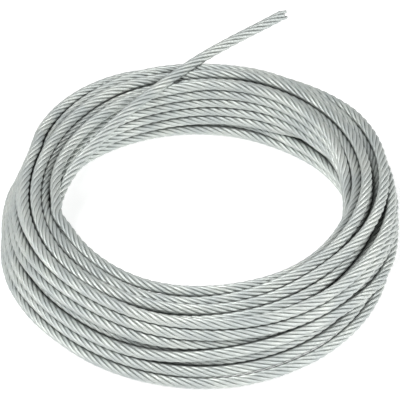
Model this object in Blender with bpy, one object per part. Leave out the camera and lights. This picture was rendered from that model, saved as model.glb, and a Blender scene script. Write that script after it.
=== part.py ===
# Coil of galvanised wire rope lying flat, with one cut end that leaves its top and sticks out past its back.
# Metres, +Z up. The origin is on the coil's axis, at the floor that the coil lies on.

import math

import bmesh
import bpy
from mathutils import Vector

# The rope
ROPE_DIAMETER = 0.0040
ROPE_RADIUS = ROPE_DIAMETER / 2

# The wound turns, seen in a cut through the bundle
TURNS_ACROSS = 5
LAYERS = 6
LAYER_RISE = 0.0037        # less than a diameter, because each layer nests a little in the one below
LAYER_LEAN = 0.0010        # how much nearer the axis each layer lies than the one below
EYE_RADIUS = 0.0544        # clear radius inside the lowest layer
COIL_HEIGHT = ROPE_DIAMETER + (LAYERS - 1) * LAYER_RISE
LOWEST_TURN_RADIUS = EYE_RADIUS + ROPE_RADIUS

# How round the turned solid is
STEPS_AROUND = 48
LOBE_HALF_ANGLE = math.radians(22.5)
VALLEY_RISE = 0.20 * ROPE_DIAMETER

# The free end
CONTACT_GAP = 0.0003
END_HEIGHT = COIL_HEIGHT + CONTACT_GAP + ROPE_RADIUS
END_POINT_SPACING = 2.4 * ROPE_DIAMETER
END_SIDES_SETTING = 3

# Where the free end's middle line passes, seen from above. It starts on the inmost turn of the top layer, at the
# left, leaves it as a flatter arc, crosses the back of the coil and runs out almost straight to the cut.
END_ROUTE = (
    (-0.0520, -0.0092),
    (-0.0499, 0.0060),
    (-0.0433, 0.0188),
    (-0.0353, 0.0299),
    (-0.0267, 0.0406),
    (-0.0179, 0.0512),
    (-0.0088, 0.0614),
    (0.0008, 0.0712),
    (0.0112, 0.0802),
    (0.0220, 0.0888),
    (0.0327, 0.0974),
)

# Zinc on drawn steel wire
ZINC_COLOUR = (0.60, 0.62, 0.61, 1.0)
ZINC_METALLIC = 0.85
ZINC_ROUGHNESS = 0.42


def clear_scene():
    for old in list(bpy.data.objects):
        bpy.data.objects.remove(old, do_unlink=True)


def zinc_material(name):
    material = bpy.data.materials.new(name)
    material.use_nodes = True
    shader = material.node_tree.nodes["Principled BSDF"]
    shader.inputs["Base Color"].default_value = ZINC_COLOUR
    shader.inputs["Metallic"].default_value = ZINC_METALLIC
    shader.inputs["Roughness"].default_value = ZINC_ROUGHNESS
    return material


def turn_centre(across, layer):
    """Where one turn is cut, as its distance from the axis and its height."""
    radius = LOWEST_TURN_RADIUS + across * ROPE_DIAMETER - layer * LAYER_LEAN
    height = ROPE_RADIUS + layer * LAYER_RISE
    return Vector((radius, height))


def outer_turns():
    """The turns that show on the bundle's four sides, once round it, each with the way out of the bundle there.
    A corner turn comes twice, once for each of its two sides."""
    last_turn = TURNS_ACROSS - 1
    last_layer = LAYERS - 1
    walk = []
    for across in range(TURNS_ACROSS):
        walk.append((turn_centre(across, 0), Vector((0, -1))))
    for layer in range(LAYERS):
        walk.append((turn_centre(last_turn, layer), Vector((1, 0))))
    for across in reversed(range(TURNS_ACROSS)):
        walk.append((turn_centre(across, last_layer), Vector((0, 1))))
    for layer in reversed(range(LAYERS)):
        walk.append((turn_centre(0, layer), Vector((-1, 0))))
    return walk


def lobe_points(centre, outward):
    """The flat crest that stands for a turn's round outside: two points, in the order of the walk."""
    reach = ROPE_RADIUS / math.cos(LOBE_HALF_ANGLE)
    along = Vector((-outward.y, outward.x))
    half_crest = reach * math.sin(LOBE_HALF_ANGLE)
    crest = centre + outward * ROPE_RADIUS
    return [crest - along * half_crest, crest + along * half_crest]


def bundle_outline():
    """The closed outline of the bundle's cut, as distance from the axis and height."""
    walk = outer_turns()
    outline = []
    for index, (centre, outward) in enumerate(walk):
        outline.extend(lobe_points(centre, outward))
        next_centre, next_outward = walk[(index + 1) % len(walk)]
        if next_outward == outward:
            outline.append((centre + next_centre) / 2 + outward * VALLEY_RISE)
    return outline


def coiled_turns():
    """The wound turns as one turned solid: the bundle's outline spun once round the coil's axis."""
    shape = bmesh.new()
    corners = [shape.verts.new((point.x, 0, point.y)) for point in bundle_outline()]
    edges = [shape.edges.new((corner, corners[index - 1])) for index, corner in enumerate(corners)]
    bmesh.ops.spin(
        shape,
        geom=corners + edges,
        cent=(0, 0, 0),
        axis=(0, 0, 1),
        angle=2 * math.pi,
        steps=STEPS_AROUND,
        use_merge=True,
    )
    bmesh.ops.recalc_face_normals(shape, faces=shape.faces)
    mesh = bpy.data.meshes.new("coiled_turns")
    shape.to_mesh(mesh)
    shape.free()
    mesh.shade_smooth()
    mesh.set_sharp_from_angle(angle=math.radians(50))
    coil = bpy.data.objects.new("coiled_turns", mesh)
    coil.data.materials.append(zinc_material("zinc_on_turns"))
    bpy.context.collection.objects.link(coil)
    return coil


def smooth_route(points, spacing):
    """Evenly spaced points on one smooth curve that passes through the given points."""
    fine = []
    before_and_after = [2 * points[0] - points[1], *points, 2 * points[-1] - points[-2]]
    fine_steps = 40
    for index in range(1, len(before_and_after) - 2):
        a, b, c, d = before_and_after[index - 1:index + 3]
        for step in range(fine_steps):
            t = step / fine_steps
            fine.append(0.5 * (2 * b + (c - a) * t + (2 * a - 5 * b + 4 * c - d) * t ** 2
                               + (3 * b - a - 3 * c + d) * t ** 3))
    fine.append(points[-1])

    lengths = [0.0]
    for start, end in zip(fine, fine[1:]):
        lengths.append(lengths[-1] + (end - start).length)
    count = max(2, round(lengths[-1] / spacing))
    even = []
    for index in range(count + 1):
        wanted = lengths[-1] * index / count
        after = next((i for i, length in enumerate(lengths) if length >= wanted), len(lengths) - 1)
        after = max(1, after)
        share = (wanted - lengths[after - 1]) / (lengths[after] - lengths[after - 1])
        even.append(fine[after - 1].lerp(fine[after], share))
    return even


def free_end():
    """The stretch of rope that isn't wound: a tube that lies on the coil and runs out to its cut end."""
    route = [Vector((x, y, END_HEIGHT)) for x, y in END_ROUTE]
    centres = smooth_route(route, END_POINT_SPACING)
    curve = bpy.data.curves.new("free_end", "CURVE")
    curve.dimensions = "3D"
    curve.bevel_depth = ROPE_RADIUS
    curve.bevel_resolution = END_SIDES_SETTING
    curve.render_resolution_u = 0
    curve.use_fill_caps = True
    spline = curve.splines.new("POLY")
    spline.points.add(len(centres) - 1)
    for point, centre in zip(spline.points, centres):
        point.co = (*centre, 1.0)
    spline.use_smooth = True
    end = bpy.data.objects.new("free_end", curve)
    end.data.materials.append(zinc_material("zinc_on_end"))
    bpy.context.collection.objects.link(end)
    return end


def main():
    clear_scene()
    coiled_turns()
    free_end()


main()
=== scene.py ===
import functools
import math

import bmesh
import bpy
import numpy as np
from bpy.props import FloatProperty, FloatVectorProperty, IntProperty, PointerProperty
from mathutils import Matrix, Vector


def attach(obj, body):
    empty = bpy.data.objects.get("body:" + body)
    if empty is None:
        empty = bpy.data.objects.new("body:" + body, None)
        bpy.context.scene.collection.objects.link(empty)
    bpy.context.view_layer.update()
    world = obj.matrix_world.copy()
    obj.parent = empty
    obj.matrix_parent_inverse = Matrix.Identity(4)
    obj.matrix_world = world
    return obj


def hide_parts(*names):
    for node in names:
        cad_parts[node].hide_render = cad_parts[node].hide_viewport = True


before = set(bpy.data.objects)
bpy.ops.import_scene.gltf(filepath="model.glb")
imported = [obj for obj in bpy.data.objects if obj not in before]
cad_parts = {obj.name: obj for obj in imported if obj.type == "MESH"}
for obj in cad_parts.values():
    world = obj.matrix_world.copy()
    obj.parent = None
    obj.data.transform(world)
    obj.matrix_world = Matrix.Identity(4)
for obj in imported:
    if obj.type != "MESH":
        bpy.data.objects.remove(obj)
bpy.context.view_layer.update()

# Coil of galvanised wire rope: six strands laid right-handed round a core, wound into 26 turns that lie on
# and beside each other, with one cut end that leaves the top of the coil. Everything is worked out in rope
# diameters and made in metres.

bl_info = {
    "name": "Coil of Wire Rope",
    "version": (1, 0, 0),
    "blender": (4, 5, 0),
    "location": "View3D > Sidebar > Wire Rope",
    "description": "Winds a stranded wire rope into a loose round coil with one free end",
    "category": "Object",
}

# Where the middle lines of the outmost and the inmost turns run, as azimuth in degrees and distance from
# the axis in rope diameters. The azimuth is 0 at the right, 90 at the back, 180 at the left and 270 at the
# front.
OUTSIDE_AT_FLOOR = (
    (7, 17.6), (25, 17.6), (60, 17.6), (100, 17.6), (140, 17.7), (165, 17.9), (188, 17.65),
    (202, 17.75), (227, 17.6), (247, 17.9), (264, 18.1), (280, 18.2), (300, 17.95), (315, 17.85),
    (326, 17.75), (340, 17.45), (353, 17.4),
)
OUTSIDE_AT_TOP = (
    (5, 17.3), (19, 17.75), (32, 17.85), (44, 17.75), (60, 17.6), (96, 17.5), (105, 17.65), (120, 17.8),
    (134, 17.7), (146, 17.05), (160, 16.1), (180, 16.0), (200, 16.1), (235, 15.9), (270, 15.8),
    (305, 16.0), (335, 16.5), (350, 16.9),
)
INSIDE_AT_FLOOR = (
    (5, 14.0), (20, 14.5), (40, 14.5), (60, 14.25), (90, 14.25), (110, 14.4), (123, 14.55), (138, 14.8),
    (148, 14.7), (160, 14.3), (175, 14.2), (210, 14.3), (240, 14.5), (300, 14.5), (330, 14.2),
)
INSIDE_AT_TOP = (
    (3, 13.15), (30, 13.9), (60, 14.3), (90, 14.4), (120, 14.2), (145, 13.4), (163, 12.6), (177, 12.75),
    (192, 13.1), (206, 12.4), (220, 11.75), (231, 11.55), (250, 11.55), (283, 11.65), (300, 11.75),
    (312, 11.95), (322, 12.45), (335, 12.8), (349, 13.2),
)
TOP_HEIGHT = 5.3
FLOOR_HEIGHT = 0.5

# How many turns lie side by side in each layer, from the floor up. The last turn of all is tucked in at the
# inside, under the top layer, and the turns that were wound just before it lie over it.
TURNS_IN_LAYERS = (5, 4, 4, 4, 4, 4)
LAYER_RISE = 0.95
LAST_TURN_SHARE = -0.08
LAST_TURN_LAYER = 4.3
LAST_TURN_TUCKED_FOR = 0.75
TURNS_OVER_LAST = 5

# Where along the rope a turn moves on to the next place, counted in turns
FIRST_MOVE = 0.35
SHARE_AT_FIRST_SIDE = 0.6
MOVE_SCATTER = 0.08
MOVE_LENGTHS = (0.16, 0.34)

# The loose waves of the turns: how many of each long one fit in a turn, and how many points a short one spans
LONG_WAVES = (0.37, 0.71, 1.13, 1.9, 2.6)
SHORT_WAVE_POINTS = 61
SHORT_WAVE_SIZE = 0.8

# At the right the upper turns have parted, and a dark gap runs between the two outer ones and the rest.
GAP_AZIMUTH = 14.0
GAP_SPREAD = 17.0
GAP_FROM_LAYER = 3.0
GAP_SHARE = 0.22

# The free end's route in metres, seen from above, as in part.py: from the inmost turn at the left, over the
# back of the coil and out to its cut. It rises from among the turns on to the top of the coil.
FREE_END_ROUTE = (
    (-0.0520, -0.0092),
    (-0.0499, 0.0060),
    (-0.0433, 0.0188),
    (-0.0353, 0.0299),
    (-0.0267, 0.0406),
    (-0.0179, 0.0512),
    (-0.0088, 0.0614),
    (0.0008, 0.0712),
    (0.0112, 0.0802),
    (0.0220, 0.0888),
    (0.0327, 0.0974),
)
ROPE_DIAMETER = 0.004
FREE_END_LEAVES_AT = 190.0
FREE_END_RISES_OVER = 75.0
FREE_END_START_HEIGHT = 4.6
FREE_END_HEIGHT = 6.4

# How the turns are settled: in rounds, each with a little sinking, straightening and pushing apart
STATIONS = 96
FREE_STATIONS = 34
SETTLING_ROUNDS = 240
SINK_IN_ROUND = 0.015
SINK_EASES_BY = 0.7
PULL_TO_PLAN = (0.03, 0.01)
STRAIGHTENING = 0.2
SMOOTHING_POINTS = 13
FIRST_REACH = 0.55
REACH_GROWTH = 0.9
PUSHES_IN_ROUND = 3
PUSH_GAIN = 1.3
LONGEST_PUSH = 0.25
WALL_PUSH_IN_ROUND = 0.5
WALL_PUSH_AFTER_PUSH = 0.3
CROSSING_REACH = 0.9
LIFT_AT_CROSSING = 0.5

# How finely the middle line is drawn, and where the free end is joined to the turns
STEPS_IN_ROUTE = 20
STEPS_IN_LINE = 8
JOINT_POINTS = 12
JOINT_SMOOTHING = 7

# How near a turn has to be to shelter a point, and how near to be the point's own turn
SHELTER_REACH = 2.2
SHELTER_FADE = 0.6
OWN_TURN_WITHIN = 0.6
FAR_AWAY = 1000.0

# Where the strands open and spread towards the cut
OPEN_UP_TO = 12.0
OPENING_LENGTH = 20.0
SPLAY_LENGTH = 1.6

# The core lies hidden between the strands and needs fewer sides and points.
CORE_SIDES = 6
CORE_STEP = 4

# The wires of a strand, one in the middle and the rest round it. Lengths at the cut are in wire radii.
WIRES_ROUND = 6
WIRES_CROSSED_EACH_LAY = 12.0
CUT_WIRE_SIDES = 8
CUT_WIRE_LENGTH = 4
CUT_WIRE_PROUD = (0.3, 1.3)
CUT_WIRE_ROOT = 0.98
CUT_WIRE_TIP = 0.9

# Between which values the patches, the grime with painted shade between the strands, and the painted shade
# deep between the turns come in
PATCH_NOISE = (0.35, 0.65)
GRIME_AND_SHADE_CREST = (0.25, 0.75)
DEEP_SHADE_SHELTER = (0.75, 1.1)

# How many patches fit in a metre, and how much rougher the dull ones are
ZINC_PATCH_SCALE = 90.0
ZINC_PATCH_ROUGHNESS = 0.12
STEEL_PATCH_SCALE = 1500.0
STEEL_PATCH_ROUGHNESS = 0.2

# The round lights, with their places in metres and their powers in watts. Each shines at the coil's middle.
LIGHTS = (
    ("top_light", (-0.33, -0.33, 0.88), 7.6),
    ("right_light", (0.84, 0.0, 0.54), 4.0),
    ("front_right_light", (0.59, -0.59, 0.54), 2.6),
    ("back_left_light", (-0.59, 0.59, 0.54), 0.8),
)
FLOOR_HALF_SIDE = 3.0

# What the camera looks at, behind the axis and above the floor
LOOK_BEHIND_AXIS = 1.9
LOOK_ABOVE_FLOOR = 3.0


# The middle line of the rope

def around(table, azimuth):
    """A value that goes once round the coil, read at each azimuth."""
    angles = [angle for angle, value in table]
    values = [value for angle, value in table]
    return np.interp(azimuth % 360, angles + [angles[0] + 360], values + [values[0]])


def ease(share):
    """A share from 0 to 1, made to start and stop gently."""
    share = np.clip(share, 0, 1)
    return share * share * (3 - 2 * share)


def walls(azimuth, height):
    """The inside and the outside of the coil at each azimuth and height."""
    share = (height - FLOOR_HEIGHT) / (TOP_HEIGHT - FLOOR_HEIGHT)
    inside = around(INSIDE_AT_FLOOR, azimuth) * (1 - share) + around(INSIDE_AT_TOP, azimuth) * share
    outside = around(OUTSIDE_AT_FLOOR, azimuth) * (1 - share) + around(OUTSIDE_AT_TOP, azimuth) * share
    return inside, outside


def places_in_section():
    """The places that the turns take in order: share of the way from inside to outside, and layer."""
    places = []
    last = len(TURNS_IN_LAYERS) - 1
    for layer, count in enumerate(TURNS_IN_LAYERS):
        shares = [index / (count - 1) for index in range(count)]
        if (last - layer) % 2 == 0:
            shares.reverse()
        places += [(share, layer) for share in shares]
    places.append((LAST_TURN_SHARE, LAST_TURN_LAYER))
    return np.array(places, float)


def parted(share, layer, azimuth):
    """The turns' shares of the way from inside to outside, drawn back from the gap at the right."""
    off = (azimuth - GAP_AZIMUTH + 180) % 360 - 180
    gap = GAP_SHARE * np.exp(-off ** 2 / (2 * GAP_SPREAD ** 2)) * np.clip(layer - GAP_FROM_LAYER + 1, 0, 1)
    return np.where(share > 0.5, 1 - (1 - share) * (1 - gap), share * (1 - gap))


def place_along_rope(turns_done, turns, rng):
    """Which place each point of the rope is in. A turn moves on to the next place at one side of the coil or
    at the other."""
    other_side = np.where(rng.random(turns) < SHARE_AT_FIRST_SIDE, 0.0, 0.5)
    moves_at = np.arange(turns) + FIRST_MOVE + other_side
    moves_at = moves_at + rng.normal(0, MOVE_SCATTER, turns)
    moves_over = rng.uniform(*MOVE_LENGTHS, turns)
    place = np.zeros(len(turns_done))
    for centre, width in zip(moves_at[:-1], moves_over):
        place += ease((turns_done - centre) / width + 0.5)
    return np.clip(place, 0, turns - 1)


def slow_wave(turns_done, rng):
    """The loose waves that a stiff rope keeps when it is coiled by hand."""
    wave = np.zeros(len(turns_done))
    for waves_in_turn in LONG_WAVES:
        size = rng.normal(0, 1) / (1 + waves_in_turn)
        wave += size * np.sin(2 * math.pi * waves_in_turn * turns_done + rng.uniform(0, 2 * math.pi))
    bump = np.hanning(SHORT_WAVE_POINTS)
    bumps = rng.normal(0, 1, len(turns_done) + len(bump) - 1)
    wave += SHORT_WAVE_SIZE * np.convolve(bumps, bump / math.sqrt((bump ** 2).sum()), "valid")
    return wave


def smoothed(values, width):
    """Values along the rope, averaged over a stretch of it, with both ends kept."""
    kernel = np.hanning(width + 2)[1:-1]
    kernel = kernel / kernel.sum()
    half = width // 2
    before = 2 * values[:1] - values[half:0:-1]
    after = 2 * values[-1:] - values[-2:-half - 2:-1]
    padded = np.concatenate([before, values, after])
    return np.stack([np.convolve(column, kernel, "valid") for column in padded.T], 1)


def free_end_height(azimuth):
    """The free end rises from the inmost turn on to the coil's top."""
    rise = ease((FREE_END_LEAVES_AT - azimuth) / FREE_END_RISES_OVER)
    return FREE_END_START_HEIGHT + (FREE_END_HEIGHT - FREE_END_START_HEIGHT) * rise


def free_end_line(azimuth):
    """Radius and height of the free end at each azimuth."""
    x, y = np.array(FREE_END_ROUTE).T / ROPE_DIAMETER
    route_azimuth = np.degrees(np.arctan2(y, x)) % 360
    radius = np.interp(azimuth, route_azimuth[::-1], np.hypot(x, y)[::-1])
    return np.stack([radius, free_end_height(azimuth)], 1)


def planned_turns(places, waviness, rng):
    """Azimuth of every point of the rope, and its radius and height before it settles."""
    turns = len(places)
    order = np.arange(turns * STATIONS + 1 + FREE_STATIONS)
    azimuth = FREE_END_LEAVES_AT + 360.0 * (turns * STATIONS - order) / STATIONS
    turns_done = order / STATIONS
    place = place_along_rope(turns_done, turns, rng)
    before = np.floor(place).astype(int)
    after = np.minimum(before + 1, turns - 1)
    part = (place - before)[:, None]
    share, layer = (places[before] * (1 - part) + places[after] * part).T
    share = parted(share, layer, azimuth)
    height = FLOOR_HEIGHT + layer * LAYER_RISE
    inside, outside = walls(azimuth, height)
    radius = inside + (outside - inside) * share + waviness * slow_wave(turns_done, rng)
    return azimuth, np.stack([radius, height], 1)


def cuts_through_coil(turns, free):
    """For each cut through the coil: the points of the rope in it, which of these are real, which pairs of
    them are two turns, and for each pair which one goes over the other."""
    order = np.arange(len(free))
    in_cut = np.full((STATIONS, turns + 2), -1)
    for station in range(STATIONS):
        there = order[order % STATIONS == station]
        in_cut[station, :len(there)] = there
    real = in_cut >= 0
    pairs = real[:, :, None] & real[:, None, :] & ~np.eye(turns + 2, dtype=bool)[None]
    tucked = (order > (turns - LAST_TURN_TUCKED_FOR) * STATIONS) & ~free
    level = (order - TURNS_OVER_LAST * STATIONS * tucked)[in_cut]
    goes_over = np.sign(level[:, :, None] - level[:, None, :]).astype(float)
    return in_cut, real, pairs, goes_over


def push_apart(section, pairs, real, goes_over, reach):
    """How far each turn of each cut moves so that no two are nearer than reach. Where two turns cross, one
    is lifted over the other."""
    apart = section[:, :, None, :] - section[:, None, :, :]
    distance = np.sqrt((apart ** 2).sum(-1))
    apart[..., 1] += LIFT_AT_CROSSING * goes_over * np.clip(CROSSING_REACH - distance, 0, 1)
    length = np.maximum(np.sqrt((apart ** 2).sum(-1)), np.maximum(distance, 1e-6))
    push = np.where(pairs & (distance < reach), (reach - distance) * 0.5, 0.0)
    move = (apart / length[..., None] * push[..., None]).sum(2)
    return np.clip(move, -LONGEST_PUSH, LONGEST_PUSH)[real]


def back_inside_walls(azimuth, line, share):
    """How far in or out each point goes to come back between the walls, as a share of the whole way."""
    inside, outside = walls(azimuth, line[:, 1])
    return share * (np.maximum(inside - line[:, 0], 0) - np.maximum(line[:, 0] - outside, 0))


@functools.cache
def settled_turns(seed, waviness, spacing):
    """Azimuth, radius and height of every point of the rope, settled under its own weight between the walls,
    and which of the points are in the wound turns."""
    places = places_in_section()
    azimuth, planned = planned_turns(places, waviness, np.random.default_rng(seed))
    free = np.arange(len(azimuth)) >= len(places) * STATIONS
    in_cut, real, pairs, goes_over = cuts_through_coil(len(places), free)
    held = free_end_line(azimuth[free])
    line = planned.copy()
    line[free] = held
    for round_done in range(SETTLING_ROUNDS):
        late = round_done / SETTLING_ROUNDS
        reach = spacing * min(1.0, FIRST_REACH + REACH_GROWTH * late)
        line[:, 1] -= SINK_IN_ROUND * (1 - SINK_EASES_BY * late)
        line += (planned - line) * np.array(PULL_TO_PLAN) * (1 - late)
        line[:, 0] += back_inside_walls(azimuth, line, WALL_PUSH_IN_ROUND)
        line[free] = held
        line += STRAIGHTENING * (smoothed(line, SMOOTHING_POINTS) - line)
        for push in range(PUSHES_IN_ROUND):
            move = np.zeros_like(line)
            move[in_cut[real]] = push_apart(line[in_cut], pairs, real, goes_over, reach)
            line += PUSH_GAIN * smoothed(move, SMOOTHING_POINTS)
            line[:, 1] = np.maximum(line[:, 1], FLOOR_HEIGHT)
            line[:, 0] += back_inside_walls(azimuth, line, WALL_PUSH_AFTER_PUSH)
            line[free] = held
    return azimuth, line, ~free


def curve_through(points, steps):
    """A smooth curve through the points, with so many steps from each point to the next."""
    ends = np.concatenate([[2 * points[0] - points[1]], points, [2 * points[-1] - points[-2]]])
    a, b, c, d = ends[:-3], ends[1:-2], ends[2:-1], ends[3:]
    pieces = []
    for t in np.arange(steps) / steps:
        pieces.append(0.5 * (2 * b + (c - a) * t + (2 * a - 5 * b + 4 * c - d) * t ** 2
                             + (3 * b - a - 3 * c + d) * t ** 3))
    fine = np.stack(pieces, 1).reshape(-1, points.shape[1])
    return np.concatenate([fine, points[-1:]])


def spaced_evenly(points, step):
    """Points a step apart along a fine line."""
    length = np.concatenate([[0], np.cumsum(np.linalg.norm(np.diff(points, axis=0), axis=1))])
    wanted = np.linspace(0, length[-1], max(2, round(length[-1] / step)) + 1)
    return np.stack([np.interp(wanted, length, column) for column in points.T], 1)


@functools.cache
def middle_line(seed, waviness, spacing, step):
    """The rope's middle line in rope diameters, from its buried end to its cut end."""
    azimuth, line, in_turns = settled_turns(seed, waviness, spacing)
    angle = np.radians(azimuth[in_turns])
    radius, height = line[in_turns].T
    wound = np.stack([radius * np.cos(angle), radius * np.sin(angle), height], 1)
    route = np.array(FREE_END_ROUTE) / ROPE_DIAMETER
    height = free_end_height(np.degrees(np.arctan2(route[:, 1], route[:, 0])) % 360)
    free = spaced_evenly(curve_through(np.column_stack([route, height]), STEPS_IN_ROUTE), 1.0)
    whole = np.concatenate([wound, free])
    joint = slice(len(wound) - JOINT_POINTS, len(wound) + JOINT_POINTS)
    whole[joint] = smoothed(whole, JOINT_SMOOTHING)[joint]
    return spaced_evenly(curve_through(whole, STEPS_IN_LINE), step)


@functools.cache
def rope_frame(seed, waviness, spacing, step):
    """The middle line and two directions across it at each point, which don't turn about the rope."""
    line = middle_line(seed, waviness, spacing, step)
    ahead = np.gradient(line, axis=0)
    ahead /= np.linalg.norm(ahead, axis=1)[:, None]
    across = np.zeros_like(line)
    across[0] = np.cross(ahead[0], (0, 0, 1))
    for index in range(1, len(line)):
        kept = across[index - 1] - ahead[index] * (across[index - 1] @ ahead[index])
        across[index] = kept / np.linalg.norm(kept)
    across[0] /= np.linalg.norm(across[0])
    return line, across, np.cross(ahead, across)


@functools.cache
def turns_beside(seed, waviness, spacing, step):
    """Radius and height of all the turns in the cut through the coil at each point of the middle line. A
    turn's own point there, and turns that aren't there, are far away."""
    azimuth, line, _ = settled_turns(seed, waviness, spacing)
    order = np.arange(len(azimuth))
    middle = middle_line(seed, waviness, spacing, step)
    own = np.stack([np.hypot(middle[:, 0], middle[:, 1]), middle[:, 2]], 1)
    around_coil = np.degrees(np.arctan2(middle[:, 1], middle[:, 0]))
    first = ((azimuth[0] - around_coil) % 360) / 360 * STATIONS
    crossed = first[:, None] + STATIONS * np.arange(len(order) // STATIONS + 1)
    beside = np.stack([np.interp(crossed, order, column) for column in line.T], 2)
    itself = np.linalg.norm(beside - own[:, None], axis=2) < OWN_TURN_WITHIN
    beside[itself | (crossed > order[-1])] = FAR_AWAY
    return beside


# The shelter below sets where the painted shade deep between the turns goes.
def shelter(points, middle, beside):
    """How much of what a point on the rope faces is hidden by the turns right beside it: 0 in the open, 1
    deep down between them. All in rope diameters."""
    at = np.stack([np.hypot(points[:, 0], points[:, 1]), points[:, 2]], 1)
    out = at - np.stack([np.hypot(middle[:, 0], middle[:, 1]), middle[:, 2]], 1)
    out /= np.linalg.norm(out, axis=1)[:, None] + 1e-9
    to_turn = beside - at[:, None]
    distance = np.linalg.norm(to_turn, axis=2)
    facing = np.arccos(np.clip((to_turn * out[:, None]).sum(2) / distance, -1, 1))
    half_width = np.arcsin(np.minimum(1, 0.5 / distance))
    nearer_edge = np.clip(facing - half_width, -math.pi / 2, math.pi / 2)
    farther_edge = np.clip(facing + half_width, -math.pi / 2, math.pi / 2)
    hidden = (np.sin(farther_edge) - np.sin(nearer_edge)) / 2
    near = np.clip((SHELTER_REACH - distance) / SHELTER_FADE, 0, 1)
    return np.clip((hidden * near).sum(1), 0, 1)


# Tubes along lines

def tube_mesh(name, line, radius, sides):
    """A closed tube along a line. Its mesh begins with the points of its two caps, the cap at the line's last
    point first, and goes on with one ring of points for each point of the line."""
    curve = bpy.data.curves.new(name, "CURVE")
    curve.dimensions = "3D"
    curve.bevel_depth = radius
    curve.bevel_resolution = (sides - 4) // 2
    curve.use_fill_caps = True
    spline = curve.splines.new("POLY")
    spline.points.add(len(line) - 1)
    spline.points.foreach_set("co", np.column_stack([line, np.ones(len(line))]).ravel())
    spline.use_smooth = True
    holder = bpy.data.objects.new(name, curve)
    bpy.context.collection.objects.link(holder)
    ready = holder.evaluated_get(bpy.context.evaluated_depsgraph_get())
    mesh = bpy.data.meshes.new_from_object(ready)
    bpy.data.objects.remove(holder, do_unlink=True)
    bpy.data.curves.remove(curve)
    mesh.name = name
    return mesh


def map_along(mesh, sides, rings, lay_count):
    """The UV map for the wires: once round the strand across, and one unit for each lay of the rope along."""
    capped = 2 * sides
    corners = np.empty(len(mesh.loops), dtype=np.int32)
    mesh.loops.foreach_get("vertex_index", corners)
    starts = np.empty(len(mesh.polygons), dtype=np.int32)
    totals = np.empty(len(mesh.polygons), dtype=np.int32)
    mesh.polygons.foreach_get("loop_start", starts)
    mesh.polygons.foreach_get("loop_total", totals)
    side = np.where(corners < capped, 0, (corners - capped) % sides).astype(float)
    ring = np.where(corners < capped, 0, (corners - capped) // sides).astype(float)
    quads = starts[totals == 4][:, None] + np.arange(4)
    last_side_to_first = side[quads].max(1) - side[quads].min(1) > 1.5
    seam = quads[last_side_to_first]
    side[seam] = np.where(side[seam] == 0, sides, side[seam])
    while mesh.uv_layers:
        mesh.uv_layers.remove(mesh.uv_layers[0])
    layer = mesh.uv_layers.new(name="along_strand")
    places = np.column_stack([side / sides, ring / (rings - 1) * lay_count])
    layer.uv.foreach_set("vector", places.ravel())


def strand_attributes(mesh, sides, middle, beside, low, high):
    """How far out on the rope each point of a strand is, from 0 next to the core to 1 on the outside, and how
    far the other turns shelter it. Low and high are the nearest and the farthest that a strand is from the
    middle. All in rope diameters."""
    size = bpy.context.scene.wire_rope_sizes.rope_diameter
    places = np.empty(3 * len(mesh.vertices))
    mesh.vertices.foreach_get("co", places)
    places = places.reshape(-1, 3) / size
    capped = 2 * sides
    ring = np.clip((np.arange(len(places)) - capped) // sides, 0, len(middle) - 1)
    ring[:sides] = len(middle) - 1
    out = np.linalg.norm(places - middle[ring], axis=1)
    crest = mesh.attributes.new("crest", "FLOAT", "POINT")
    crest.data.foreach_set("value", np.clip((out - low) / (high - low), 0, 1))
    sheltered = mesh.attributes.new("shelter", "FLOAT", "POINT")
    sheltered.data.foreach_set("value", shelter(places, middle[ring], beside[ring]))


def cut_wires_mesh(name, ends, strand_radius, seed):
    """The single wires that show where the strands are cut: one in the middle of each strand and the rest
    round it, each a little longer or shorter than the next. An end is the middle of a cut and the direction
    out of it."""
    rng = np.random.default_rng(seed)
    wire_radius = strand_radius / 3
    depth = CUT_WIRE_LENGTH * wire_radius
    shape = bmesh.new()
    for middle, outward in ends:
        stand = Matrix.Translation(middle) @ Vector(outward).to_track_quat("Z", "Y").to_matrix().to_4x4()
        turned = rng.uniform(0, math.pi)
        for index in range(WIRES_ROUND + 1):
            from_middle = 0 if index == 0 else 2 * wire_radius
            angle = turned + index * 2 * math.pi / WIRES_ROUND
            proud = wire_radius * rng.uniform(*CUT_WIRE_PROUD)
            place = Matrix.Translation((
                from_middle * math.cos(angle),
                from_middle * math.sin(angle),
                proud - depth / 2,
            ))
            bmesh.ops.create_cone(
                shape,
                cap_ends=True,
                segments=CUT_WIRE_SIDES,
                radius1=wire_radius * CUT_WIRE_ROOT,
                radius2=wire_radius * CUT_WIRE_TIP,
                depth=depth,
                matrix=stand @ place,
            )
    mesh = bpy.data.meshes.new(name)
    shape.to_mesh(mesh)
    shape.free()
    return mesh


def finished_piece(name, mesh, material):
    """Links a mesh as a piece of the rope."""
    mesh.shade_smooth()
    mesh.materials.clear()
    mesh.materials.append(material)
    piece = bpy.data.objects.new(name, mesh)
    bpy.context.collection.objects.link(piece)
    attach(piece, "root")
    return piece


# Materials

def math_node(tree, operation, first, second=None):
    """A sum on one or two values, which are numbers or sockets."""
    node = tree.nodes.new("ShaderNodeMath")
    node.operation = operation
    for socket, value in zip(node.inputs, (first, second)):
        if value is None:
            continue
        if isinstance(value, (int, float)):
            socket.default_value = value
        else:
            tree.links.new(value, socket)
    return node.outputs[0]


def range_node(tree, value, low, high, to_low=0.0, to_high=1.0, interpolation="LINEAR"):
    """A value between low and high, brought between two other values."""
    node = tree.nodes.new("ShaderNodeMapRange")
    node.interpolation_type = interpolation
    node.inputs["From Min"].default_value = low
    node.inputs["From Max"].default_value = high
    node.inputs["To Min"].default_value = to_low
    node.inputs["To Max"].default_value = to_high
    tree.links.new(value, node.inputs["Value"])
    return node.outputs["Result"]


def mix_node(tree, factor, first, second):
    """A mix of two colours."""
    node = tree.nodes.new("ShaderNodeMix")
    node.data_type = "RGBA"
    for label, socket in (("Factor", factor), ("A", first), ("B", second)):
        tree.links.new(socket, node.inputs[label])
    return node.outputs["Result"]


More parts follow.
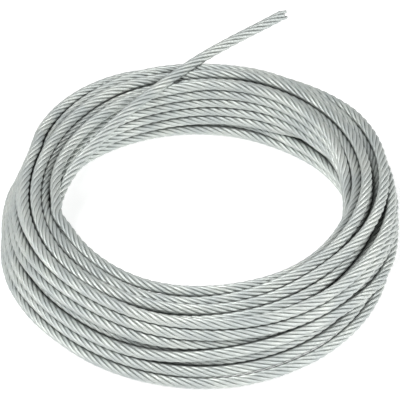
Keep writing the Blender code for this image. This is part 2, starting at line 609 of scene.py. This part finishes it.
def new_group(name, sockets):
    """An empty node group with its sockets, and its entry and exit nodes."""
    tree = bpy.data.node_groups.new(name, "ShaderNodeTree")
    for label, in_out, kind in sockets:
        tree.interface.new_socket(label, in_out=in_out, socket_type=kind)
    return tree, tree.nodes.new("NodeGroupInput").outputs, tree.nodes.new("NodeGroupOutput").inputs


def laid_wires_group():
    """Height of the wires in a strand, which are laid against the strands and so run along the rope."""
    name = "laid_wires"
    if name in bpy.data.node_groups:
        return bpy.data.node_groups[name]
    tree, entry, leave = new_group(name, (
        ("Around", "INPUT", "NodeSocketFloat"),
        ("Lays", "INPUT", "NodeSocketFloat"),
        ("Wires", "INPUT", "NodeSocketFloat"),
        ("Wires Crossed Each Lay", "INPUT", "NodeSocketFloat"),
        ("Height", "OUTPUT", "NodeSocketFloat"),
    ))
    turned = math_node(tree, "MULTIPLY", entry["Around"], entry["Wires"])
    moved = math_node(tree, "MULTIPLY", entry["Lays"], entry["Wires Crossed Each Lay"])
    phase = math_node(tree, "FRACT", math_node(tree, "ADD", turned, moved))
    offset = math_node(tree, "SUBTRACT", math_node(tree, "MULTIPLY", phase, 2.0), 1.0)
    round_top = math_node(tree, "SUBTRACT", 1.0, math_node(tree, "MULTIPLY", offset, offset))
    height = math_node(tree, "SQRT", math_node(tree, "MAXIMUM", round_top, 0.0))
    tree.links.new(height, leave["Height"])
    return tree


def zinc_patina_and_shade_group():
    """Cloudy zinc: two tones that mix in soft patches, darker down between the strands with grime and painted
    shade, and darkest between the turns with painted shade."""
    name = "zinc_patina"
    if name in bpy.data.node_groups:
        return bpy.data.node_groups[name]
    tree, entry, leave = new_group(name, (
        ("Place", "INPUT", "NodeSocketVector"),
        ("Crest", "INPUT", "NodeSocketFloat"),
        ("Shelter", "INPUT", "NodeSocketFloat"),
        ("Bright", "INPUT", "NodeSocketColor"),
        ("Dull", "INPUT", "NodeSocketColor"),
        ("Grime and Painted Shade", "INPUT", "NodeSocketColor"),
        ("Painted Deep Shade", "INPUT", "NodeSocketColor"),
        ("Patch Scale", "INPUT", "NodeSocketFloat"),
        ("Colour", "OUTPUT", "NodeSocketColor"),
        ("Dullness", "OUTPUT", "NodeSocketFloat"),
    ))
    patches = tree.nodes.new("ShaderNodeTexNoise")
    patches.inputs["Detail"].default_value = 3.0
    patches.inputs["Roughness"].default_value = 0.6
    tree.links.new(entry["Place"], patches.inputs["Vector"])
    tree.links.new(entry["Patch Scale"], patches.inputs["Scale"])
    dullness = range_node(tree, patches.outputs["Fac"], *PATCH_NOISE)
    # Darker down between the strands, where the crest is low: grime, and painted shade where the strands
    # shade each other
    deep = range_node(tree, entry["Crest"], *GRIME_AND_SHADE_CREST, to_low=1.0, to_high=0.0)
    # Darkest deep between the turns, where the other turns hide most of what a point faces: painted shade
    hidden = range_node(tree, entry["Shelter"], *DEEP_SHADE_SHELTER, interpolation="SMOOTHSTEP")
    colour = mix_node(tree, dullness, entry["Bright"], entry["Dull"])
    colour = mix_node(tree, deep, colour, entry["Grime and Painted Shade"])
    colour = mix_node(tree, hidden, colour, entry["Painted Deep Shade"])
    tree.links.new(colour, leave["Colour"])
    tree.links.new(dullness, leave["Dullness"])
    return tree


def new_material(name):
    """A material with its node tree and shader."""
    material = bpy.data.materials.new(name)
    material.use_nodes = True
    return material, material.node_tree, material.node_tree.nodes["Principled BSDF"]


def add_patina_and_shade(tree, shader, colours, patch_scale, roughness, patch_roughness):
    """Gives a material its patina and painted shade, as colour and roughness, and returns the node that makes
    them.
    """
    place = tree.nodes.new("ShaderNodeTexCoord")
    patina_and_shade = tree.nodes.new("ShaderNodeGroup")
    patina_and_shade.node_tree = zinc_patina_and_shade_group()
    patina_and_shade.inputs["Patch Scale"].default_value = patch_scale
    for label, colour in colours:
        patina_and_shade.inputs[label].default_value = (*colour, 1.0)
    tree.links.new(place.outputs["Object"], patina_and_shade.inputs["Place"])
    tree.links.new(patina_and_shade.outputs["Colour"], shader.inputs["Base Color"])
    rough = range_node(
        tree, patina_and_shade.outputs["Dullness"], 0.0, 1.0, roughness, roughness + patch_roughness)
    tree.links.new(rough, shader.inputs["Roughness"])
    return patina_and_shade


def zinc_wire_material(name, finish, wires, wires_crossed):
    """Zinc on drawn steel wire, with the single wires of a strand as bump."""
    material, tree, shader = new_material(name)
    shader.inputs["Metallic"].default_value = finish.metallic
    colours = (
        ("Bright", finish.bright_zinc),
        ("Dull", finish.dull_zinc),
        ("Grime and Painted Shade", finish.grime_and_painted_shade),
        ("Painted Deep Shade", finish.painted_deep_shade),
    )
    patina_and_shade = add_patina_and_shade(
        tree, shader, colours, ZINC_PATCH_SCALE, finish.roughness, ZINC_PATCH_ROUGHNESS)
    for attribute_name, label in (("crest", "Crest"), ("shelter", "Shelter")):
        attribute = tree.nodes.new("ShaderNodeAttribute")
        attribute.attribute_name = attribute_name
        tree.links.new(attribute.outputs["Fac"], patina_and_shade.inputs[label])

    strand_map = tree.nodes.new("ShaderNodeUVMap")
    strand_map.uv_map = "along_strand"
    split = tree.nodes.new("ShaderNodeSeparateXYZ")
    tree.links.new(strand_map.outputs["UV"], split.inputs["Vector"])
    laid = tree.nodes.new("ShaderNodeGroup")
    laid.node_tree = laid_wires_group()
    laid.inputs["Wires"].default_value = wires
    laid.inputs["Wires Crossed Each Lay"].default_value = wires_crossed
    tree.links.new(split.outputs["X"], laid.inputs["Around"])
    tree.links.new(split.outputs["Y"], laid.inputs["Lays"])
    bump = tree.nodes.new("ShaderNodeBump")
    bump.inputs["Strength"].default_value = finish.wire_bump
    bump.inputs["Distance"].default_value = finish.wire_bump_depth
    tree.links.new(laid.outputs["Height"], bump.inputs["Height"])
    tree.links.new(bump.outputs["Normal"], shader.inputs["Normal"])
    return material


def cut_steel_material(name, finish):
    """Bare grey steel with a smear of zinc, on the cut ends of the wires."""
    material, tree, shader = new_material(name)
    shader.inputs["Metallic"].default_value = 1.0
    colours = (("Bright", finish.dull_zinc), ("Dull", finish.cut_steel))
    patina_and_shade = add_patina_and_shade(
        tree, shader, colours, STEEL_PATCH_SCALE, finish.roughness, STEEL_PATCH_ROUGHNESS)
    patina_and_shade.inputs["Crest"].default_value = 1.0
    return material


def floor_material(name, colour, glow):
    """Plain pale floor that shows hardly any shadow, as on a lit table."""
    material, _, shader = new_material(name)
    shader.inputs["Base Color"].default_value = (*colour, 1.0)
    shader.inputs["Roughness"].default_value = 0.9
    shader.inputs["Specular IOR Level"].default_value = 0.0
    shader.inputs["Emission Color"].default_value = (1.0, 1.0, 1.0, 1.0)
    shader.inputs["Emission Strength"].default_value = glow
    return material


# Settings

class WireRopeSizes(bpy.types.PropertyGroup):
    rope_diameter: FloatProperty(
        name="Rope Diameter",
        description="Across the whole rope, over the crests of its strands",
        default=ROPE_DIAMETER,
        min=0.001,
        unit="LENGTH",
    )
    real_length: FloatProperty(
        name="Rope Length",
        description="Length of the whole rope as it is sold",
        default=10.0,
        unit="LENGTH",
    )
    lay_length: FloatProperty(
        name="Lay Length",
        description="Rope diameters along the rope in which a strand goes once round it",
        default=5.4,
    )
    free_lay_length: FloatProperty(
        name="Lay Length at the Cut End",
        description="The same at the free end, where the strands have opened a little",
        default=6.2,
    )
    strand_place: FloatProperty(
        name="Strand Place",
        description="From the rope's middle to a strand's middle, in rope diameters",
        default=0.342,
    )
    strand_radius: FloatProperty(
        name="Strand Radius",
        description="Half the thickness of a strand, in rope diameters",
        default=0.158,
    )
    core_radius: FloatProperty(
        name="Core Radius",
        description="Half the thickness of the core, in rope diameters",
        default=0.183,
    )
    cut_splay: FloatProperty(
        name="Splay at the Cut",
        description="How far the strands have spread at the cut end, in rope diameters",
        default=0.035,
    )
    strands: IntProperty(
        name="Strands",
        description="Strands round the core",
        default=6,
        min=3,
    )
    points_each_lay: IntProperty(
        name="Points Each Lay",
        description="How finely a strand's spiral is followed",
        default=14,
        min=8,
    )
    strand_sides: IntProperty(
        name="Strand Sides",
        description="Sides of a strand's tube, an even number",
        default=10,
        min=6,
    )


class CoilShape(bpy.types.PropertyGroup):
    seed: IntProperty(
        name="Seed",
        description="Picks where each turn moves on and how it waves",
        default=8,
    )
    waviness: FloatProperty(
        name="Waviness",
        description="How far the turns wander in and out, in rope diameters",
        default=0.3,
    )
    spacing: FloatProperty(
        name="Spacing",
        description="Distance that neighbouring turns keep, in rope diameters",
        default=1.02,
    )


class ZincFinish(bpy.types.PropertyGroup):
    bright_zinc: FloatVectorProperty(
        name="Bright Zinc",
        description="The clean patches",
        default=(0.70, 0.735, 0.70),
        subtype="COLOR",
        min=0.0,
        max=1.0,
    )
    dull_zinc: FloatVectorProperty(
        name="Dull Zinc",
        description="The cloudy patches",
        default=(0.55, 0.59, 0.58),
        subtype="COLOR",
        min=0.0,
        max=1.0,
    )
    # Grime, and painted shade, down between the strands
    grime_and_painted_shade: FloatVectorProperty(
        name="Grime and Painted Shade",
        description="What lies between the strands",
        default=(0.20, 0.214, 0.206),
        subtype="COLOR",
        min=0.0,
        max=1.0,
    )
    # Painted shade deep between the turns, where the other turns hide most of what a point faces
    painted_deep_shade: FloatVectorProperty(
        name="Painted Deep Shade",
        description="What has gathered deep between the turns",
        default=(0.17, 0.18, 0.173),
        subtype="COLOR",
        min=0.0,
        max=1.0,
    )
    cut_steel: FloatVectorProperty(
        name="Cut Steel",
        description="The bare ends of the wires",
        default=(0.26, 0.27, 0.28),
        subtype="COLOR",
        min=0.0,
        max=1.0,
    )
    metallic: FloatProperty(
        name="Metallic",
        description="How metallic the zinc looks",
        default=0.6,
        min=0.0,
        max=1.0,
        subtype="FACTOR",
    )
    roughness: FloatProperty(
        name="Roughness",
        description="Roughness of the bright patches",
        default=0.43,
        min=0.0,
        max=1.0,
        subtype="FACTOR",
    )
    wire_bump: FloatProperty(
        name="Wire Bump",
        description="How strongly the single wires show",
        default=0.6,
        min=0.0,
        max=1.0,
        subtype="FACTOR",
    )
    wire_bump_depth: FloatProperty(
        name="Wire Bump Depth",
        description="Height of a wire over the groove beside it",
        default=0.00012,
        unit="LENGTH",
    )


class StudioLook(bpy.types.PropertyGroup):
    camera_elevation: FloatProperty(
        name="Camera Elevation",
        description="How steeply the camera looks down",
        default=math.radians(43.5),
        subtype="ANGLE",
    )
    camera_distance: FloatProperty(
        name="Camera Distance",
        description="From the camera to the point that it looks at",
        default=0.88,
        unit="LENGTH",
    )
    lens: FloatProperty(
        name="Lens",
        description="Focal length in millimetres on a 36 mm wide frame",
        default=218.8,
    )
    floor_colour: FloatVectorProperty(
        name="Floor",
        description="The plain floor",
        default=(0.55, 0.55, 0.55),
        subtype="COLOR",
        min=0.0,
        max=1.0,
    )
    floor_glow: FloatProperty(
        name="Floor Glow",
        description="How much light the floor gives itself",
        default=0.62,
    )
    light_width: FloatProperty(
        name="Light Width",
        description="Across each of the round lights",
        default=0.45,
        unit="LENGTH",
    )
    sky_light: FloatProperty(
        name="Sky Light",
        description="Strength of the even light all round",
        default=0.12,
    )


# The strands along the middle line

def line_settings(scene):
    """What the middle line depends on, the same for every piece."""
    sizes = scene.wire_rope_sizes
    shape = scene.wire_rope_coil
    return shape.seed, shape.waviness, shape.spacing, sizes.lay_length / sizes.points_each_lay


def lay_angles(scene, line):
    """How far the strands have gone round the rope at each point of its middle line, and how far each point
    is from the cut end."""
    sizes = scene.wire_rope_sizes
    step = np.linalg.norm(np.diff(line, axis=0), axis=1)
    along = np.concatenate([[0], np.cumsum(step)])
    from_cut = along[-1] - along
    opened = ease(1 - (from_cut - OPEN_UP_TO) / OPENING_LENGTH)
    lay = sizes.lay_length + (sizes.free_lay_length - sizes.lay_length) * opened
    turn = np.concatenate([[0], np.cumsum(2 * math.pi * step / ((lay[1:] + lay[:-1]) / 2))])
    return turn, from_cut


def strand_lines(scene):
    """The middle line of each strand in rope diameters. Every other one is a little shorter, for an uneven
    cut."""
    sizes = scene.wire_rope_sizes
    line, across, upward = rope_frame(*line_settings(scene))
    turn, from_cut = lay_angles(scene, line)
    splay = sizes.cut_splay * ease(1 - from_cut / SPLAY_LENGTH) ** 2
    out = (sizes.strand_place + splay)[:, None]
    lines = []
    for index in range(sizes.strands):
        angle = turn + 2 * math.pi * index / sizes.strands
        strand = line + out * (np.cos(angle)[:, None] * across + np.sin(angle)[:, None] * upward)
        lines.append(strand[:len(strand) - index % 2])
    return lines


def core_line(scene):
    """The middle line of the core in rope diameters, with fewer points than the strands have."""
    return middle_line(*line_settings(scene))[::CORE_STEP]


# Operators

class WIREROPE_OT_strands(bpy.types.Operator):
    """Lay the strands round the core of the wound rope"""

    bl_idname = "wirerope.strands"
    bl_label = "Strands"

    def execute(self, context):
        scene = context.scene
        sizes = scene.wire_rope_sizes
        size = sizes.rope_diameter
        middle = middle_line(*line_settings(scene))
        beside = turns_beside(*line_settings(scene))
        turn, _ = lay_angles(scene, middle)
        lays = turn[-1] / (2 * math.pi)
        low = sizes.strand_place - sizes.strand_radius
        high = sizes.strand_place + sizes.strand_radius
        finish = scene.wire_rope_finish
        zinc = zinc_wire_material("zinc_on_strands", finish, WIRES_ROUND, WIRES_CROSSED_EACH_LAY)
        for index, strand in enumerate(strand_lines(scene)):
            name = f"strand_{index + 1}"
            rings = len(strand)
            mesh = tube_mesh(name, strand * size, sizes.strand_radius * size, sizes.strand_sides)
            map_along(mesh, sizes.strand_sides, rings, lays)
            strand_attributes(mesh, sizes.strand_sides, middle[:rings], beside[:rings], low, high)
            finished_piece(name, mesh, zinc)
        return {"FINISHED"}


class WIREROPE_OT_core(bpy.types.Operator):
    """Run the core through the middle of the strands"""

    bl_idname = "wirerope.core"
    bl_label = "Core"

    def execute(self, context):
        scene = context.scene
        sizes = scene.wire_rope_sizes
        size = sizes.rope_diameter
        core = core_line(scene)
        beside = turns_beside(*line_settings(scene))[::CORE_STEP]
        turn, _ = lay_angles(scene, middle_line(*line_settings(scene)))
        mesh = tube_mesh("core", core * size, sizes.core_radius * size, CORE_SIDES)
        map_along(mesh, CORE_SIDES, len(core), turn[-1] / (2 * math.pi))
        strand_attributes(mesh, CORE_SIDES, core, beside, 0, 1)
        zinc = zinc_wire_material("zinc_on_core", scene.wire_rope_finish, WIRES_ROUND, 0.0)
        finished_piece("core", mesh, zinc)
        return {"FINISHED"}


class WIREROPE_OT_cut_wires(bpy.types.Operator):
    """Show the single wires where the strands and the core are cut"""

    bl_idname = "wirerope.cut_wires"
    bl_label = "Cut Wires"

    def execute(self, context):
        scene = context.scene
        sizes = scene.wire_rope_sizes
        size = sizes.rope_diameter
        ends = []
        for line in (*strand_lines(scene), core_line(scene)):
            line = line * size
            ends.append((line[0], line[0] - line[1]))
            ends.append((line[-1], line[-1] - line[-2]))
        mesh = cut_wires_mesh("cut_wires", ends, sizes.strand_radius * size, scene.wire_rope_coil.seed)
        cut_steel = cut_steel_material("cut_steel", scene.wire_rope_finish)
        finished_piece("cut_wires", mesh, cut_steel)
        return {"FINISHED"}


class WIREROPE_OT_one_rope(bpy.types.Operator):
    """Hide the plain solids of the coiled turns and the free end"""

    bl_idname = "wirerope.one_rope"
    bl_label = "One Rope"

    def execute(self, context):
        scene = context.scene
        sizes = scene.wire_rope_sizes
        size = sizes.rope_diameter
        names = [f"strand_{index + 1}" for index in range(sizes.strands)]
        pieces = [bpy.data.objects[name] for name in (*names, "core", "cut_wires")]
        for piece in pieces:
            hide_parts("coiled_turns", "free_end")
        route = middle_line(*line_settings(scene)) * size
        return {"FINISHED"}


class WIREROPE_OT_stage(bpy.types.Operator):
    """Set the floor, the lights and the camera"""

    bl_idname = "wirerope.stage"
    bl_label = "Floor, Lights and Camera"

    def execute(self, context):
        scene = context.scene
        self.lay_floor(scene)
        self.hang_lights(scene)
        self.place_camera(scene)
        scene.view_settings.view_transform = "Standard"
        return {"FINISHED"}

    def lay_floor(self, scene):
        look = scene.wire_rope_studio
        ground = bmesh.new()
        bmesh.ops.create_grid(ground, x_segments=1, y_segments=1, size=FLOOR_HALF_SIDE)
        mesh = bpy.data.meshes.new("floor")
        ground.to_mesh(mesh)
        ground.free()
        mesh.materials.append(floor_material("plain_floor", look.floor_colour, look.floor_glow))
        floor = bpy.data.objects.new("floor", mesh)
        scene.collection.objects.link(floor)

    def hang_lights(self, scene):
        look = scene.wire_rope_studio
        world = bpy.data.worlds.new("soft_studio")
        world.use_nodes = True
        background = world.node_tree.nodes["Background"]
        background.inputs["Color"].default_value = (1.0, 1.0, 1.0, 1.0)
        background.inputs["Strength"].default_value = look.sky_light
        scene.world = world
        for name, place, power in LIGHTS:
            data = bpy.data.lights.new(name, "AREA")
            data.shape = "DISK"
            data.size = look.light_width
            data.energy = power
            light = bpy.data.objects.new(name, data)
            light.location = place
            light.rotation_euler = (-Vector(place)).to_track_quat("-Z", "Y").to_euler()
            scene.collection.objects.link(light)

    def place_camera(self, scene):
        look = scene.wire_rope_studio
        size = scene.wire_rope_sizes.rope_diameter
        lens = bpy.data.cameras.new("camera")
        lens.lens = look.lens
        lens.sensor_width = 36.0
        lens.clip_start = 0.01
        camera = bpy.data.objects.new("camera", lens)
        target = Vector((0.0, LOOK_BEHIND_AXIS * size, LOOK_ABOVE_FLOOR * size))
        elevation = look.camera_elevation
        away = Vector((0.0, -math.cos(elevation), math.sin(elevation)))
        camera.location = target + away * look.camera_distance
        camera.rotation_euler = (-away).to_track_quat("-Z", "Y").to_euler()
        scene.collection.objects.link(camera)
        scene.camera = camera


class WIREROPE_PT_panel(bpy.types.Panel):
    """The steps and settings of the coil"""

    bl_label = "Coil of Wire Rope"
    bl_idname = "WIREROPE_PT_panel"
    bl_space_type = "VIEW_3D"
    bl_region_type = "UI"
    bl_category = "Wire Rope"

    def draw(self, context):
        layout = self.layout
        for group_name in GROUPS:
            group = getattr(context.scene, group_name)
            box = layout.box()
            for name in group.bl_rna.properties.keys():
                if name not in ("rna_type", "name"):
                    box.prop(group, name)
        for operator in OPERATORS:
            layout.operator(operator.bl_idname)


OPERATORS = (
    WIREROPE_OT_strands,
    WIREROPE_OT_core,
    WIREROPE_OT_cut_wires,
    WIREROPE_OT_one_rope,
    WIREROPE_OT_stage,
)
GROUPS = {
    "wire_rope_sizes": WireRopeSizes,
    "wire_rope_coil": CoilShape,
    "wire_rope_finish": ZincFinish,
    "wire_rope_studio": StudioLook,
}


def register():
    for group in GROUPS.values():
        bpy.utils.register_class(group)
    for operator in OPERATORS:
        bpy.utils.register_class(operator)
    bpy.utils.register_class(WIREROPE_PT_panel)
    for name, group in GROUPS.items():
        setattr(bpy.types.Scene, name, PointerProperty(type=group))


def unregister():
    for name in GROUPS:
        delattr(bpy.types.Scene, name)
    bpy.utils.unregister_class(WIREROPE_PT_panel)
    for operator in reversed(OPERATORS):
        bpy.utils.unregister_class(operator)
    for group in reversed(GROUPS.values()):
        bpy.utils.unregister_class(group)


def main():
    register()
    bpy.ops.wirerope.strands()
    bpy.ops.wirerope.core()
    bpy.ops.wirerope.cut_wires()
    bpy.ops.wirerope.one_rope()
    bpy.ops.wirerope.stage()
    bpy.context.view_layer.update()


if __name__ == "__main__":
    main()
